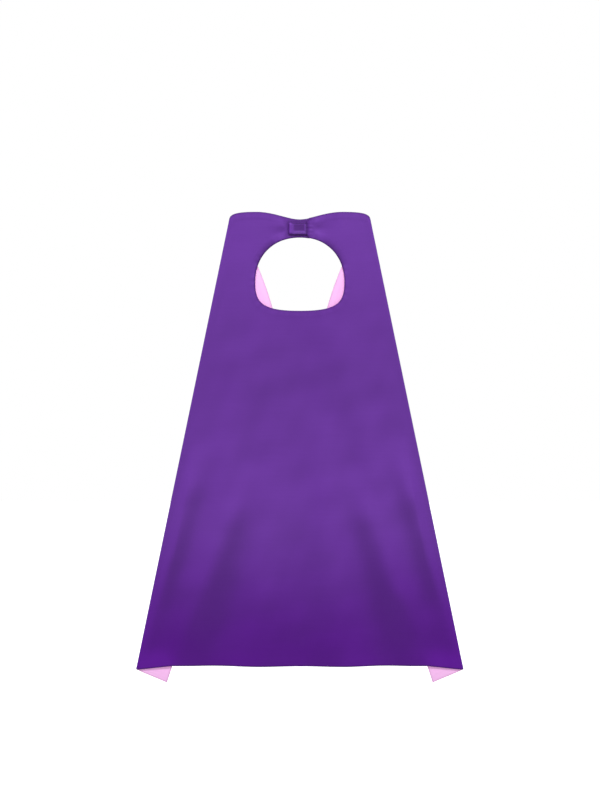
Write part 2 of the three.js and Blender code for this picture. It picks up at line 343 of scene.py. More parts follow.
# The cloth swells forwards below the back; from a line across, it then falls back with an even slope, eased
# in as a hyperbola, and the hem's corners turn forwards again.
def hemFall(x, z):
    swellOver = hemSwing["swellTo"] - hemSwing["swellFrom"]
    swell = -hemSwing["swell"] * smooth((-z - hemSwing["swellFrom"]) / swellOver)
    start = np.interp(np.abs(x), hemSwing["fallAcross"], hemSwing["fallFrom"])
    past = -z - start
    kick = (smooth((-z - hemSwing["kickDrop"]) / hemSwing["kickOver"])
            * smooth((np.abs(x) - hemSwing["kickAcross"]) / hemSwing["kickOver"]))
    fallen = hemSwing["slope"] * 0.5 * (past + np.hypot(past, hemSwing["ease"]))
    return swell + fallen - 2 * hemSwing["kick"] * kick


# The neck's edge rolls back beside the closure: it dies away exponentially with the distance from the
# opening.
def neckEdgeRoll(x, z, reach=neckRoll["reach"]):
    angle = np.arctan2(np.abs(x), z)
    curve = np.arctan2(np.abs(neckHalf[:, 0]), neckHalf[:, 1])
    gap = np.hypot(x, z) - np.interp(angle, curve, np.hypot(*neckHalf.T))
    window = (smooth((angle - neckRoll["from"]) / neckRoll["fadeIn"])
              * smooth((neckRoll["to"] - angle) / neckRoll["fadeOut"]))
    return neckRoll["height"] * window * np.exp(-np.maximum(gap, 0) / reach)


# Two sums of slow waves, one broad and one small, that grow down the back.
def fineWrinkles(x, z):
    lower = smooth((-z + wrinkles["top"]) / wrinkles["over"])
    broad, small = (height * softNoise(x, z * squeeze, length, seed)
                    for height, length, squeeze, seed in (wrinkles["broad"], wrinkles["small"]))
    return (broad + small) * mm * (wrinkles["above"] + (1 - wrinkles["above"]) * lower)


# The strap on +X rises over the lower tab as it nears the closure.
def strapLift(x, z):
    upward = smooth(z / (closure["liftHeight"] * cut["neckHeight"]))
    rise = smooth((closure["liftStart"] - x) / closure["liftLength"]) * upward
    return np.where(x > 0, -closure["lift"] * rise, 0)


# Wrinkles fan out of the fastened tabs into both straps: a cosine of the angle round the closure.
def strapWrinkles(x, z):
    dz = z - closure["centre"]
    reach = np.hypot(np.abs(x) - 8 * mm, dz)
    angle = np.arctan2(dz, np.abs(x) - 4 * mm)
    strength = strapFan["height"] * mm * smooth((z - strapFan["low"][0]) / strapFan["low"][1])
    window = (bell(reach - strapFan["reach"], strapFan["spread"])
              * smooth((np.abs(x) - strapFan["out"][0]) / strapFan["out"][1]))
    left, right = strapFan["phases"]
    return strength * window * np.cos(strapFan["waves"] * angle + np.where(x > 0, right, left))


# Height of the face that both layers follow, as a distance along Y at a place on the folded cape.
def lay(x, z):
    across = np.clip(np.abs(x) / flatHalfWidth(z), 0, 1)
    still = smooth((0.985 - across) / 0.09)
    low = smooth((-z - drape["start"]) / hemSwing["easeIn"])
    laid = laidFolds(x, z) + fineWrinkles(x, z) + strapWrinkles(x, z) + neckEdgeRoll(x, z)
    return broadDrape(x, z) + low * hemFall(x, z) * smooth((1.04 - across) / 0.12) + still * laid


# Takes points of the flat cut to their places on the folded cape. Up to the fold they lie on the panel, then
# they run round half a circle, and past it they lie on the flap behind, as the cut's mirror image in the
# fold.
def foldCloth(points, depth, pucker=0):
    x, z = points[..., 0], points[..., 1]
    side = np.where(x < 0, -1, 1)
    past = pastFold(x, z)
    radius = fold["radius"]
    turn = np.pi * np.clip(past / (2 * radius), 0, 1)
    behind = np.maximum(past - 2 * radius, 0)
    inPlane = np.minimum(past, 0) + (radius - depth) * np.sin(turn) - behind
    outX, outZ = side / foldSecant, fold["flare"] / foldSecant
    newX, newZ = x + (inPlane - past) * outX, z + (inPlane - past) * outZ
    onFlap = smooth(behind / drape["sagOver"])
    cloud = softNoise(newX, newZ, drape["sagCloud"], drape["sagSeed"])
    flapSag = onFlap * drape["flapSag"] * (0.55 + 0.45 * cloud)
    y = radius - (radius - depth) * np.cos(turn) + lay(newX, newZ) + np.maximum(flapSag, 0)
    y = y + np.where(turn < 1e-6, strapLift(x, z), 0) + pucker
    return np.stack([newX, y, newZ], axis=-1)


# Inlays end short of the turn on both sides: what reaches further moves back, square to the fold.
def heldAtFold(points, limit, place):
    x, z = points[..., 0], points[..., 1]
    over = limit(pastFold(x, z) - place, 0) / foldSecant
    return np.stack([x - over * np.where(x < 0, -1, 1), z - over * fold["flare"]], axis=-1)


# The panel's inlays stop where the turn starts, and the flaps' inlays start past the turn.
def foldPanelInlay(points, depth, pucker=0):
    return foldCloth(heldAtFold(points, np.maximum, 0), depth, pucker)


def foldFlapInlay(points, depth, pucker=0):
    return foldCloth(heldAtFold(points, np.minimum, fold["inlayStart"]), depth, pucker)


# Depth of a face behind the outer face: it rolls over to the seam at the edge as a quarter ellipse, lies on
# the turned-in edges, and sinks a little past them.
def faceDepth(distance, layer):
    roll = np.clip(1 - distance / cloth["rollReach"], 0, 1)
    rolled = 0.5 * cloth["stack"] * (1 - np.sqrt(np.maximum(1 - roll**2, 0)))
    sinkStart, sinkOver = (share * cloth["turningReach"] for share in cloth["sinkSpan"])
    sunk = cloth["sink"] * smooth((distance - sinkStart) / sinkOver)
    near = np.minimum(rolled + sunk, 0.5 * cloth["stack"] - cloth["gap"][0])
    far = np.minimum(near + cloth["ply"], 0.5 * cloth["stack"] - cloth["gap"][1])
    if layer == "outer":
        return near, far
    return cloth["stack"] - near, cloth["stack"] - far


# The stitches draw the edge into small waves that die away from it: a sine of the distance along the seam,
# whose beat wanders with two slower sines so that no two puckers are alike.
def puckerAt(distance, arc):
    beat = 2 * np.pi * arc / cloth["puckerLength"]
    wave = np.sin(beat + 1.3 * np.sin(0.37 * beat) + 0.8 * np.sin(0.113 * beat))
    reach = bell(distance, cloth["puckerReach"])
    return cloth["puckerHeight"] * wave * reach * smooth(distance / (2 * mm) + 0.35)


# A smooth-shaded mesh object, which rides on a body of the frame if one is named.
def meshObject(name, vertices, faces, body=None):
    mesh = bpy.data.meshes.new(name)
    mesh.from_pydata(vertices, [], faces)
    mesh.validate()
    piece = bpy.data.objects.new(name, mesh)
    bpy.context.scene.collection.objects.link(piece)
    mesh.shade_smooth()
    if body:
        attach(piece, body)
    return piece


# Faces of a grid of rows and columns of points, as rows of four numbers.
def gridFaces(rows, columns):
    at = np.arange(rows * columns).reshape(rows, columns)
    return np.stack([at[:-1, :-1], at[:-1, 1:], at[1:, 1:], at[1:, :-1]], axis=-1).reshape(-1, 4)


# Six times the volume of a closed mesh, as the sum of its faces' triple products. It is below 0 if the faces
# point inwards.
def signedVolume(vertices, quads):
    a, b, c, d = (vertices[quads[:, k]] for k in range(4))
    return np.sum(a * np.cross(b, c)) + np.sum(a * np.cross(c, d))


# A closed shell between two grids of points: both grids and a strip round their rims, with all faces pointing
# outwards, and the numbers of the first grid's rim points.
def closedShell(near, far):
    rows, columns = near.shape[:2]
    count = rows * columns
    vertices = np.concatenate([near.reshape(-1, 3), far.reshape(-1, 3)])
    at = np.arange(count).reshape(rows, columns)
    rim = np.concatenate([at[0, :-1], at[:-1, -1], at[-1, :0:-1], at[:0:-1, 0]])
    nextRim = np.roll(rim, -1)
    front = gridFaces(rows, columns)
    sides = np.stack([nextRim, rim, rim + count, nextRim + count], axis=-1)
    faces = np.concatenate([front, front[:, ::-1] + count, sides])
    if signedVolume(vertices, faces) < 0:
        faces = faces[:, ::-1]
    return vertices, faces, rim


def pointValues(mesh, name, values):
    mesh.attributes.new(name, "FLOAT", "POINT").data.foreach_set("value", values.astype(np.float32))


# A shell as an object, its rim edges sharp, with the flat cut as its UV map. Its points carry their distance
# from the nearest seam, the painted shade round the closure, and the upward part of their normals.
def shellObject(name, near, far, flat, seamDistance, pressed=0.0):
    vertices, faces, rim = closedShell(near, far)
    count = len(vertices) // 2
    piece = meshObject(name, vertices.tolist(), faces.tolist())
    mesh = piece.data
    onRim = np.zeros(2 * count, bool)
    onRim[np.concatenate([rim, rim + count])] = True
    ends = np.zeros(2 * len(mesh.edges), np.int32)
    mesh.edges.foreach_get("vertices", ends)
    ends = ends.reshape(-1, 2)
    sharp = onRim[ends[:, 0]] & onRim[ends[:, 1]] & ((ends[:, 0] < count) == (ends[:, 1] < count))
    mesh.attributes.new("sharp_edge", "BOOLEAN", "EDGE").data.foreach_set("value", sharp)
    loops = np.zeros(len(mesh.loops), np.int32)
    mesh.loops.foreach_get("vertex_index", loops)
    cutUv = np.concatenate([flat.reshape(-1, 2)] * 2)
    mesh.uv_layers.new(name="flatCut").data.foreach_set("uv", cutUv[loops].astype(np.float32).ravel())
    for title, values in (("seamDistance", seamDistance), ("pressedIn", pressed)):
        pointValues(mesh, title, np.concatenate([np.broadcast_to(values, near.shape[:2]).ravel()] * 2))
    normals = np.zeros(2 * count * 3, np.float32)
    mesh.vertex_normals.foreach_get("vector", normals)
    pointValues(mesh, "facingUp", normals[2::3])
    return piece


# A tube along a line of points in space, closed with flat ends: a ring of points across the line at each, by
# the cosine and sine of the angle round it.
def tubeMesh(path, radius, sides=6):
    run = np.gradient(path, axis=0)
    run /= np.linalg.norm(run, axis=1)[:, None]
    across = np.cross(run, np.array([0.0, 1.0, 0.0]))
    across[np.linalg.norm(across, axis=1) < 1e-6] = (1, 0, 0)
    across /= np.linalg.norm(across, axis=1)[:, None]
    up = np.cross(across, run)
    turn = np.linspace(0, 2 * np.pi, sides, endpoint=False)
    ring = np.cos(turn)[None, :, None] * across[:, None, :] + np.sin(turn)[None, :, None] * up[:, None, :]
    radii = np.broadcast_to(radius, len(path))[:, None, None]
    points = (path[:, None, :] + ring * radii).reshape(-1, 3)
    at = np.arange(len(path) * sides).reshape(len(path), sides)
    after = np.roll(at, -1, axis=1)
    faces = np.stack([at[:-1], after[:-1], after[1:], at[1:]], axis=-1).reshape(-1, 4).tolist()
    return points, faces + [at[0, ::-1].tolist(), at[-1].tolist()]


# Several meshes as one list of points and one of faces.
def joinMeshes(parts):
    vertices, faces, base = [], [], 0
    for points, quads in parts:
        vertices.append(points)
        faces += [[index + base for index in face] for face in quads]
        base += len(points)
    return np.concatenate(vertices), faces


satin = {
    "outer": (0.124, 0.031, 0.296, 1),
    # the colours towards the hem: painted shade on the outer face, painted light on the lining
    "outerDeep": (0.098, 0.005, 0.268, 1),
    "lining": (0.960, 0.520, 0.900, 1),
    "liningDeep": (0.980, 0.540, 0.920, 1),
    "roughness": 0.40,
    "sheen": 0.04,
    "threadPitch": 0.55 * mm,
    "lieRange": 0.16,  # painted shade where the cloth faces down, and painted light where it faces up
    "outerLie": (0.73, 1.19),
    "liningLie": (0.93, 1.04),
    "outerTint": (0.75, 0.5, 1, 1),
    "liningTint": (1, 0.9, 1, 1),
    "outerSeam": 0.62,  # painted shade: how much darker the rolled edge is
    "liningSeam": 0.30,
    "seamShade": 0.35,  # the painted seam shade's colour, as a share of the colour towards the hem
    # a faint darker line where the turned-in edges end
    "pressedLine": 0.03,
    # painted shade round the closure, at its full strength
    "crushedDark": 0.5,
    # painted light on the shoulders
    "shoulderLight": 0.12,
    # slow clouds in the painted hem shade
    "deepCloud": 0.5,
    "creaseRough": 0.08,
    "slubRough": 0.03,
    "sheenRoughness": 0.45,
    "sheenTint": (0.8, 0.7, 1.0, 1),
    "anisotropy": 0.4,
    "specular": 0.3,
    "creaseBump": (0.10, 1.2 * mm),  # strength, height
    "weaveBump": (0.12, 0.08 * mm),
}

seamMarks = {  # distances from the seam
    "rolled": (0.2 * mm, 3.4 * mm),
    "lineStart": 7.5 * mm,
    "lineMiddle": 9.5 * mm,
    "lineEnd": 12.5 * mm,
}

paintedGradient = {  # heights in the flat cut, in metres, over which the painted hem shade and the painted shoulder light come in
    "deep": (-0.36, -0.60),
    "shoulder": (-0.12, 0.05),
    "cloudScale": 5.5,
}

weave = {
    "floatLength": 0.23,  # the floats' beat along the weave, as a share of the threads' own
    "floatSlant": 0.4,
    "floatHeight": 0.35,
    "slubScale": (14, 420, 1),
    "creaseScale": 26.0,
    "creaseFrom": (0.35, 0.68),
}

trim = {  # colour, roughness, grain of each matt material, and how much paler its lightest fibres are
    "turnedEdge": ((0.35, 0.16, 0.45, 1), 0.8, 900, 1.5),
    "sewingThread": ((0.075, 0.018, 0.190, 1), 0.5, 2200, 1.8),
    "hookTape": ((0.060, 0.016, 0.150, 1), 0.45, 1500, 1.5),
    "loopTape": ((0.100, 0.030, 0.240, 1), 0.85, 1800, 1.9),
}


# An empty shader node group with its sockets made, and its input and output nodes.
def nodeGroup(name, inputs, outputs):
    group = bpy.data.node_groups.new(name, "ShaderNodeTree")
    for title, kind, value in inputs:
        socket = group.interface.new_socket(name=title, in_out="INPUT", socket_type=kind)
        socket.default_value = value
    for title, kind in outputs:
        group.interface.new_socket(name=title, in_out="OUTPUT", socket_type=kind)
    return group, group.nodes.new("NodeGroupInput"), group.nodes.new("NodeGroupOutput")


def mathNode(tree, operation, first, second=None, third=None):
    node = tree.nodes.new("ShaderNodeMath")
    node.operation = operation
    for k, value in enumerate((first, second, third)):
        if value is None:
            continue
        if isinstance(value, (int, float)):
            node.inputs[k].default_value = value
        else:
            tree.links.new(value, node.inputs[k])
    return node.outputs[0]


def rangeNode(tree, value, low, high, toLow=0.0, toHigh=1.0):
    node = tree.nodes.new("ShaderNodeMapRange")
    node.interpolation_type = "SMOOTHSTEP"
    tree.links.new(value, node.inputs["Value"])
    for title, number in (("From Min", low), ("From Max", high), ("To Min", toLow), ("To Max", toHigh)):
        node.inputs[title].default_value = number
    return node.outputs["Result"]


def attributeNode(tree, name):
    node = tree.nodes.new("ShaderNodeAttribute")
    node.attribute_name = name
    return node.outputs["Fac"]


def noiseNode(tree, vector, scale, detail=2.0):
    node = tree.nodes.new("ShaderNodeTexNoise")
    tree.links.new(vector, node.inputs["Vector"])
    node.inputs["Scale"].default_value = scale
    node.inputs["Detail"].default_value = detail
    return node.outputs["Fac"]


def mixColour(tree, factor, first, second, blendType="MIX"):
    node = tree.nodes.new("ShaderNodeMix")
    node.data_type = "RGBA"
    node.blend_type = blendType
    for socket, value in ((node.inputs[0], factor), (node.inputs[6], first), (node.inputs[7], second)):
        if isinstance(value, (int, float, tuple)):
            socket.default_value = value
        else:
            tree.links.new(value, socket)
    return node.outputs[2]


# A grey colour whose three channels are one value.
def greyOf(tree, value):
    node = tree.nodes.new("ShaderNodeCombineColor")
    for k in range(3):
        tree.links.new(value, node.inputs[k])
    return node.outputs[0]


# Multiplies a colour by a value.
def shaded(tree, colour, value):
    return mixColour(tree, 1.0, colour, greyOf(tree, value), "MULTIPLY")


# Satin weave: long floats across the cloth with a slow drift in their brightness, and small pressed creases.
def buildWeaveGroup():
    tree, inside, outside = nodeGroup(
        "satinWeave",
        [("Cut", "NodeSocketVector", (0, 0, 0)), ("Pitch", "NodeSocketFloat", 0.0005)],
        [("Height", "NodeSocketFloat"), ("Slub", "NodeSocketFloat"), ("Crease", "NodeSocketFloat")],
    )
    parts = tree.nodes.new("ShaderNodeSeparateXYZ")
    tree.links.new(inside.outputs["Cut"], parts.inputs[0])
    wave = mathNode(tree, "DIVIDE", 2 * math.pi, inside.outputs["Pitch"])
    rows = mathNode(tree, "SINE", mathNode(tree, "MULTIPLY", parts.outputs["Y"], wave))
    shifted = mathNode(tree, "MULTIPLY_ADD", parts.outputs["Y"], weave["floatSlant"], parts.outputs["X"])
    slower = mathNode(tree, "MULTIPLY", wave, weave["floatLength"])
    floats = mathNode(tree, "SINE", mathNode(tree, "MULTIPLY", shifted, slower))
    height = mathNode(tree, "MULTIPLY_ADD", floats, weave["floatHeight"], rows)
    tree.links.new(height, outside.inputs["Height"])
    mapping = tree.nodes.new("ShaderNodeMapping")
    mapping.inputs["Scale"].default_value = weave["slubScale"]
    tree.links.new(inside.outputs["Cut"], mapping.inputs["Vector"])
    tree.links.new(noiseNode(tree, mapping.outputs[0], 1.0, 3.0), outside.inputs["Slub"])
    folded = noiseNode(tree, inside.outputs["Cut"], weave["creaseScale"], 4.0)
    tree.links.new(rangeNode(tree, folded, *weave["creaseFrom"]), outside.inputs["Crease"])
    return tree


# Marks along a seam: 1 at the rolled edge, for its painted shade, and a faint darker line where the turned-in
# edges end.
def buildSeamGroup():
    tree, inside, outside = nodeGroup(
        "seamMarks",
        [("Distance", "NodeSocketFloat", 0.02)],
        [("Edge", "NodeSocketFloat"), ("Pressed", "NodeSocketFloat")],
    )
    distance = inside.outputs["Distance"]
    tree.links.new(rangeNode(tree, distance, *seamMarks["rolled"], 1.0, 0.0), outside.inputs["Edge"])
    rising = rangeNode(tree, distance, seamMarks["lineStart"], seamMarks["lineMiddle"])
    falling = rangeNode(tree, distance, seamMarks["lineMiddle"], seamMarks["lineEnd"], 1.0, 0.0)
    tree.links.new(mathNode(tree, "MULTIPLY", rising, falling), outside.inputs["Pressed"])
    return tree


# Masks for painted light and shade over the cloth: the first, painted shade towards the hem, is 0 above and 1
# at the hem, with slow clouds, and Shoulder, painted light, is 0 below and 1 at the shoulders.
def buildPaintedGradientGroup():
    tree, inside, outside = nodeGroup(
        "clothFall",
        [("Cut", "NodeSocketVector", (0, 0, 0)), ("Cloud", "NodeSocketFloat", 0.2)],
        [("Fall", "NodeSocketFloat"), ("Shoulder", "NodeSocketFloat")],
    )
    parts = tree.nodes.new("ShaderNodeSeparateXYZ")
    tree.links.new(inside.outputs["Cut"], parts.inputs[0])
    fall = rangeNode(tree, parts.outputs["Y"], *paintedGradient["deep"])
    noise = noiseNode(tree, inside.outputs["Cut"], paintedGradient["cloudScale"], 2.0)
    cloud = mathNode(tree, "MULTIPLY", mathNode(tree, "SUBTRACT", noise, 0.5), inside.outputs["Cloud"])
    node = tree.nodes.new("ShaderNodeClamp")
    tree.links.new(mathNode(tree, "ADD", fall, cloud), node.inputs["Value"])
    tree.links.new(node.outputs[0], outside.inputs["Fall"])
    tree.links.new(rangeNode(tree, parts.outputs["Y"], *paintedGradient["shoulder"]), outside.inputs["Shoulder"])
    return tree


weaveGroup, seamGroup, paintedGradientGroup = buildWeaveGroup(), buildSeamGroup(), buildPaintedGradientGroup()


def groupNode(tree, group):
    node = tree.nodes.new("ShaderNodeGroup")
    node.node_tree = group
    return node


def newMaterial(name):
    material = bpy.data.materials.new(name)
    material.use_nodes = True
    tree = material.node_tree
    return material, tree, tree.nodes["Principled BSDF"]


def bumpNode(tree, height, strength, distance, normal=None):
    node = tree.nodes.new("ShaderNodeBump")
    node.inputs["Strength"].default_value = strength
    node.inputs["Distance"].default_value = distance
    tree.links.new(height, node.inputs["Height"])
    if normal is not None:
        tree.links.new(normal, node.inputs["Normal"])
    return node.outputs["Normal"]


# One face of the satin, from its entries in the dictionary: painted shade deepens the colour towards the hem,
# where painted light lifts the lining, and painted light lifts the shoulders. The slubs shade it, as do
# painted shade and light from the upward part of the normals and painted shade round the closure, and painted
# shade darkens the rolled seams.
def satinMaterial(name, side):
    material, tree, shader = newMaterial(name)
    uv = tree.nodes.new("ShaderNodeUVMap")
    uv.uv_map = "flatCut"
    weaving, marks, fall = (groupNode(tree, group) for group in (weaveGroup, seamGroup, paintedGradientGroup))
    tree.links.new(uv.outputs[0], weaving.inputs["Cut"])
    weaving.inputs["Pitch"].default_value = satin["threadPitch"]
    tree.links.new(uv.outputs[0], fall.inputs["Cut"])
    fall.inputs["Cloud"].default_value = satin["deepCloud"]
    tree.links.new(attributeNode(tree, "seamDistance"), marks.inputs["Distance"])
    # painted shade deepens the outer colour towards the hem, and painted light lifts the lining there
    deep = satin[f"{side}Deep"]
    colour = mixColour(tree, fall.outputs["Fall"], satin[side], deep)
    colour = shaded(tree, colour, rangeNode(tree, weaving.outputs["Slub"], 0.3, 0.7, 0.985, 1.015))
    # painted shade where the cloth faces down and painted light where it faces up, from the upward part of
    # its normals
    facing = attributeNode(tree, "facingUp")
    facingShade = rangeNode(tree, facing, -satin["lieRange"], satin["lieRange"], *satin[f"{side}Lie"])
    colour = shaded(tree, colour, facingShade)
    # painted shade and painted highlights round the closure
    pressed = attributeNode(tree, "pressedIn")
    paintedShadeFactor = mathNode(tree, "MULTIPLY_ADD", pressed, -satin["crushedDark"], 1.0)
    # painted light on the shoulders
    shoulder = mathNode(tree, "MULTIPLY_ADD", fall.outputs["Shoulder"], satin["shoulderLight"], 1.0)
    colour = shaded(tree, colour, mathNode(tree, "MULTIPLY", paintedShadeFactor, shoulder))
    # painted shade along the rolled seam edge, and a faint darker line where the turned-in edges end
    edge = mathNode(tree, "MULTIPLY", marks.outputs["Edge"], satin[f"{side}Seam"])
    dark = mathNode(tree, "MULTIPLY_ADD", marks.outputs["Pressed"], satin["pressedLine"], edge)
    seamColour = tuple(satin["seamShade"] * c for c in deep[:3]) + (1,)
    tree.links.new(mixColour(tree, dark, colour, seamColour), shader.inputs["Base Color"])
    crease = weaving.outputs["Crease"]
    rough = mathNode(tree, "MULTIPLY_ADD", crease, satin["creaseRough"], satin["roughness"])
    rough = mathNode(tree, "MULTIPLY_ADD", weaving.outputs["Slub"], satin["slubRough"], rough)
    tree.links.new(rough, shader.inputs["Roughness"])
    creased = bumpNode(tree, crease, *satin["creaseBump"])
    woven = bumpNode(tree, weaving.outputs["Height"], *satin["weaveBump"], creased)
    tree.links.new(woven, shader.inputs["Normal"])
    tangent = tree.nodes.new("ShaderNodeTangent")
    tangent.direction_type = "UV_MAP"
    tangent.uv_map = "flatCut"
    tree.links.new(tangent.outputs[0], shader.inputs["Tangent"])
    shader.inputs["Sheen Weight"].default_value = satin["sheen"]
    shader.inputs["Sheen Roughness"].default_value = satin["sheenRoughness"]
    shader.inputs["Sheen Tint"].default_value = satin["sheenTint"]
    shader.inputs["Anisotropic"].default_value = satin["anisotropy"]
    shader.inputs["Specular IOR Level"].default_value = satin["specular"]
    shader.inputs["Specular Tint"].default_value = satin[f"{side}Tint"]
    return material


# Matt material with a fine fibre grain on Object coordinates.
def fibreMaterial(name):
    colour, roughness, grain, pale = trim[name]
    material, tree, shader = newMaterial(name)
    place = tree.nodes.new("ShaderNodeTexCoord")
    fibres = noiseNode(tree, place.outputs["Object"], grain, 3.0)
    clouds = noiseNode(tree, place.outputs["Object"], grain * 0.06, 2.0)
    light = tuple(min(pale * c, 1) for c in colour[:3]) + (1,)
    both = mathNode(tree, "MULTIPLY", mathNode(tree, "ADD", fibres, clouds), 0.5)
    mixed = mixColour(tree, rangeNode(tree, both, 0.35, 0.65), colour, light)
    tree.links.new(mixed, shader.inputs["Base Color"])
    rough = rangeNode(tree, fibres, 0.3, 0.7, roughness - 0.08, roughness + 0.08)
    tree.links.new(rough, shader.inputs["Roughness"])
    tree.links.new(bumpNode(tree, fibres, 0.35, 0.15 * mm), shader.inputs["Normal"])
    shader.inputs["Sheen Weight"].default_value = 0.3
    return material


slotOf = {"outer": "outer_satin", "lining": "lining_satin"}
materialOf = {side: satinMaterial(f"{side}Satin", side) for side in slotOf}
turnedEdge, sewingThread, hookTape, loopTape = (fibreMaterial(name) for name in trim)
print("cape: materials made")

cutEdge = -0.3 * mm  # the panel's cloth ends, and the flap's begins, this far before the turn


# A line of the left half in the right half, run the other way, and both halves as one line.
def mirrorLine(line):
    return np.asarray(line)[::-1] * [-1, 1]


def closeLine(half):
    return joinLines(half, mirrorLine(half))


# Distances along the left half outline where it crosses the line at which the cloth turns.
def crossings():
    arc = arcOf(outlineHalf)
    gap = pastFold(*outlineHalf.T) - cutEdge
    at = np.nonzero(np.diff(np.sign(gap)))[0]
    return [arc[k] + (arc[k + 1] - arc[k]) * gap[k] / (gap[k] - gap[k + 1]) for k in (at[0], at[-1])]


collarArc, hemArc = crossings()
outlineLength = arcOf(outlineHalf)[-1]
neckLine = evened(closeLine(neckHalf), 3.5 * mm)
outlineLine = closeLine(joinLines(evened(stretch(outlineHalf, 0, collarArc), 3.5 * mm),
                                  evened(stretch(outlineHalf, collarArc, hemArc), 6 * mm),
                                  evened(stretch(outlineHalf, hemArc, outlineLength), 8 * mm)))
strapCut = closure["upperHinge"] + closure["bend"]  # the straps' cloth hands over to the tabs here
hemTip = np.array([-cut["hemAcross"], -cut["hemDrop"] - cut["hemDip"]])


# Distances along rows of the given lengths: close together near both ends, even between. Rows below the
# shortest length take its distances, scaled down.
def rowSteps(length, middle, shortest=26 * mm):
    full = np.maximum(length, shortest)
    inner = edgeSteps[-1]
    share = np.linspace(0, 1, middle + 1)[1:-1]
    between = inner + (full[:, None] - 2 * inner) * share
    left = np.broadcast_to(edgeSteps, (len(length), len(edgeSteps)))
    steps = np.concatenate([left, between, full[:, None] - edgeSteps[::-1]], axis=1)
    return steps * (length / full)[:, None]


panelRows = {
    "strap": 33,  # rows from the closure to the fold's top, down the side fold, and along the hem
    "side": 73,
    "hem": 61,
    "sideGrowth": 1.15,  # the rows down the side fold grow further apart by this power
    "neckSide": 20 * mm,  # heights on the opening that go with the fold's top and the hem's corner
    "neckCorner": -43 * mm,
    "across": 96,
}


# Distances along the opening's and the top edge's left halves at which the straps' cloth ends.
def strapStarts():
    top = neckHalf[:, 1] > 0
    topEdge = slice(0, cut["topPoints"])
    return (np.interp(strapCut, -neckHalf[top, 0], arcOf(neckHalf)[top]),
            np.interp(strapCut, -outlineHalf[topEdge, 0], arcOf(outlineHalf)[topEdge]))


# Grid of the flat cut: each row runs straight from a place on the neck opening to a place on the outer edge,
# and the rows go round from one strap to the other.
def panelGrid():
    neckArc = arcOf(neckHalf)
    neckStart, outStart = strapStarts()
    neckSide = np.interp(-panelRows["neckSide"], -neckHalf[:, 1], neckArc)
    neckCorner = np.interp(-panelRows["neckCorner"], -neckHalf[:, 1], neckArc)
    strap, side, hem = panelRows["strap"], panelRows["side"], panelRows["hem"]
    topOut = along(outlineHalf, np.linspace(outStart, collarArc, strap))
    hemOut = along(outlineHalf, np.linspace(hemArc, outlineLength, hem))
    growth = np.linspace(0, 1, side)[:, None] ** panelRows["sideGrowth"]
    sideOut = topOut[-1] + growth * (hemOut[0] - topOut[-1])
    neckPlaces = (np.linspace(neckStart, neckSide, strap), np.linspace(neckSide, neckCorner, side),
                  np.linspace(neckCorner, neckArc[-1], hem))
    outer = closeLine(joinLines(topOut, sideOut, hemOut))
    inner = closeLine(joinLines(*[along(neckHalf, places) for places in neckPlaces]))
    length = np.hypot(*(outer - inner).T)
    steps = rowSteps(length, panelRows["across"])
    return inner[:, None, :] + (outer - inner)[:, None, :] * (steps / length[:, None])[..., None]


# Distance of each point from the nearest sewn edge, and the place along that edge. Places on the opening are
# moved on by 2 m so that its puckers differ from the outline's.
def seamField(grid, useNeck=True):
    distance, arc = nearestOn(outlineLine, grid)
    if useNeck:
        neckDistance, neckArc = nearestOn(neckLine, grid)
        closer = neckDistance < distance
        distance, arc = np.where(closer, neckDistance, distance), np.where(closer, neckArc + 2, arc)
    return distance, arc


paintedShading = {  # painted shade round the closure: how much darker the cloth is painted, with the distance over which each dies away
    "tabEnd": 9 * mm,  # the upper tab's outline is taken from here to its free end
    "near": (0.42, 3.4 * mm),
    "wide": (0.14, 15 * mm),
    "below": (0.6, 4 * mm),  # the painted shadow line below the tab
    "belowHalf": 14 * mm,
    "neck": (0.55, 3.5 * mm),
    "square": 0.68,  # on the upper tab: painted shade inside the stitches and along them, and how much lighter its painted highlights on the ridges are
    "stitches": (0.3, 0.8 * mm),
    "ridge": (0.5, 0.9 * mm),
    "ridges": (-14.6 * mm, -9.4 * mm, 8.4 * mm),
    "tabOver": 1.5 * mm,  # the tab's shading gives way to the strap's over this distance
    "strap": 1.25,  # the painted shade on the strap beside the tab is stronger by this factor
    # painted shade in the crease where the strap narrows
    "crease": (0.4, 1.5 * mm),
    "creaseAt": 11.3 * mm,
    "creaseHalf": (11 * mm, 3 * mm),
}


# Painted shade round the fastened tab, where shadow falls: bell curves of the distance from the tab's
# outline, a painted shadow line below it, and painted shade along the rolled edge of the opening.
def closureShade(x, z):
    middle, half = 0.5 * (paintedShading["tabEnd"] + tab["reach"]), 0.5 * (paintedShading["tabEnd"] - tab["reach"])
    dx = np.maximum(np.abs(x - middle) - half, 0)
    dz = np.maximum(np.abs(z - closure["centre"]) - tab["halfHeight"], 0)
    away = np.hypot(dx, dz)
    near, wide, below = (dark * bell(away, reach)
                         for dark, reach in (paintedShading["near"], paintedShading["wide"], paintedShading["below"]))
    lower = smooth((closure["centre"] - tab["halfHeight"] + 1 * mm - z) / (2 * mm))
    under = lower * np.exp(-((x / paintedShading["belowHalf"]) ** 4))
    dark, reach = paintedShading["neck"]
    return near + wide + under * below + dark * neckEdgeRoll(x, z, reach) / neckRoll["height"]


